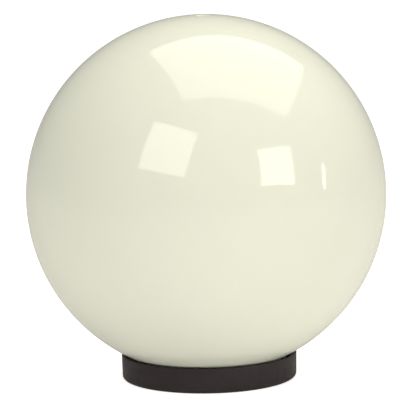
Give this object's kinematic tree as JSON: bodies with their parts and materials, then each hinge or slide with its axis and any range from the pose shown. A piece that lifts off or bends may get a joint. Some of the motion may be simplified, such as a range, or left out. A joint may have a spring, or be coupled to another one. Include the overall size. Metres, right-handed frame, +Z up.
{
  "type": "globe post light",
  "caption": "Opal globe lantern that caps a fence post or pier: a twist-lock globe in a low round dark collar, with a screw-in lamp, lampholder, bracket, terminal block and cable entry inside",
  "frame": {"origin": "centre of the collar's underside, on the face that sits on the post", "axes": "+Z up along the axis of the collar and globe; the cable entry is on the -Y side, which faces the viewer, and the terminal block on the +Y side; the bracket runs along X"},
  "size_m": [0.2499, 0.25, 0.2536],
  "materials": {
    "opal_acrylic": "gloss",
    "collar_plastic": "fine texture",
    "seal_rubber": "matte",
    "gasket_foam": "matte foam",
    "zinc_steel": "zinc plated",
    "brass": "satin",
    "holder_plastic": "satin",
    "holder_ceramic": "satin",
    "cap_nickel": "satin",
    "insulator_black": "gloss",
    "lamp_white": "satin",
    "lamp_frost": "frosted",
    "board_aluminium": "satin",
    "led_phosphor": "matte",
    "circuit_board": "satin",
    "block_nylon": "satin",
    "wire_brown": "satin",
    "wire_blue": "satin",
    "wire_green_yellow": "satin"
  },
  "bodies": {
    "base": {"block_screw_left": "zinc_steel", "block_screw_right": "zinc_steel", "bracket": "zinc_steel", "bracket_screw_left": "zinc_steel", "bracket_screw_right": "zinc_steel", "cable_clamp": "collar_plastic", "cable_grommet": "seal_rubber", "clamp_screw_left": "zinc_steel", "clamp_screw_right": "zinc_steel", "collar": "collar_plastic", "earth_screw": "brass", "earth_tag": "brass", "fixing_washer_1": "seal_rubber", "fixing_washer_2": "seal_rubber", "fixing_washer_3": "seal_rubber", "fixing_washer_4": "seal_rubber", "holder_contact": "brass", "holder_core": "holder_ceramic", "holder_dome": "holder_plastic", "holder_skirt": "holder_plastic", "holder_sleeve": "brass", "holder_terminal_live": "brass", "holder_terminal_neutral": "brass", "lock_washer": "zinc_steel", "nipple": "zinc_steel", "nipple_nut": "zinc_steel", "pole_clamp_earth": "brass", "pole_clamp_live": "brass", "pole_clamp_neutral": "brass", "pole_screw_earth_inner": "zinc_steel", "pole_screw_earth_outer": "zinc_steel", "pole_screw_live_inner": "zinc_steel", "pole_screw_live_outer": "zinc_steel", "pole_screw_neutral_inner": "zinc_steel", "pole_screw_neutral_outer": "zinc_steel", "post_gasket": "gasket_foam", "terminal_block": "block_nylon", "wire_earth": "wire_green_yellow", "wire_live": "wire_brown", "wire_neutral": "wire_blue"},
    "neck_seal": {"neck_seal": "seal_rubber"},
    "globe": {"globe": "opal_acrylic"},
    "lamp_tip": {"lamp_contact": "cap_nickel", "lamp_insulator": "insulator_black"},
    "lamp": {"lamp_cap": "cap_nickel", "lamp_housing": "lamp_white", "lamp_diffuser": "lamp_frost", "led_board": "board_aluminium", "led_ring": "led_phosphor", "lamp_driver": "circuit_board"}
  },
  "joints": [
    {"name": "globe_twist", "type": "hinge", "parent": "base", "child": "neck_seal", "pos_m": [0, 0, 0.0175], "axis": [0, 0, 1], "range_deg": [-50, 0]},
    {"name": "globe_lift", "type": "slide", "parent": "neck_seal", "child": "globe", "axis": [0, 0, 1], "range_m": [0, 0.2]},
    {"name": "lamp_rise", "type": "slide", "parent": "base", "child": "lamp_tip", "axis": [0, 0, 1], "range_m": [0, 0.0128]},
    {"name": "lamp_turn", "type": "hinge", "parent": "lamp_tip", "child": "lamp", "pos_m": [0, 0, 0.07], "axis": [0, 0, 1], "range_deg": [0, 1260]}
  ],
  "couplings": [
    {"joint": "lamp_rise", "follows": "lamp_turn", "m_per_rad": 0.00057757}
  ]
}
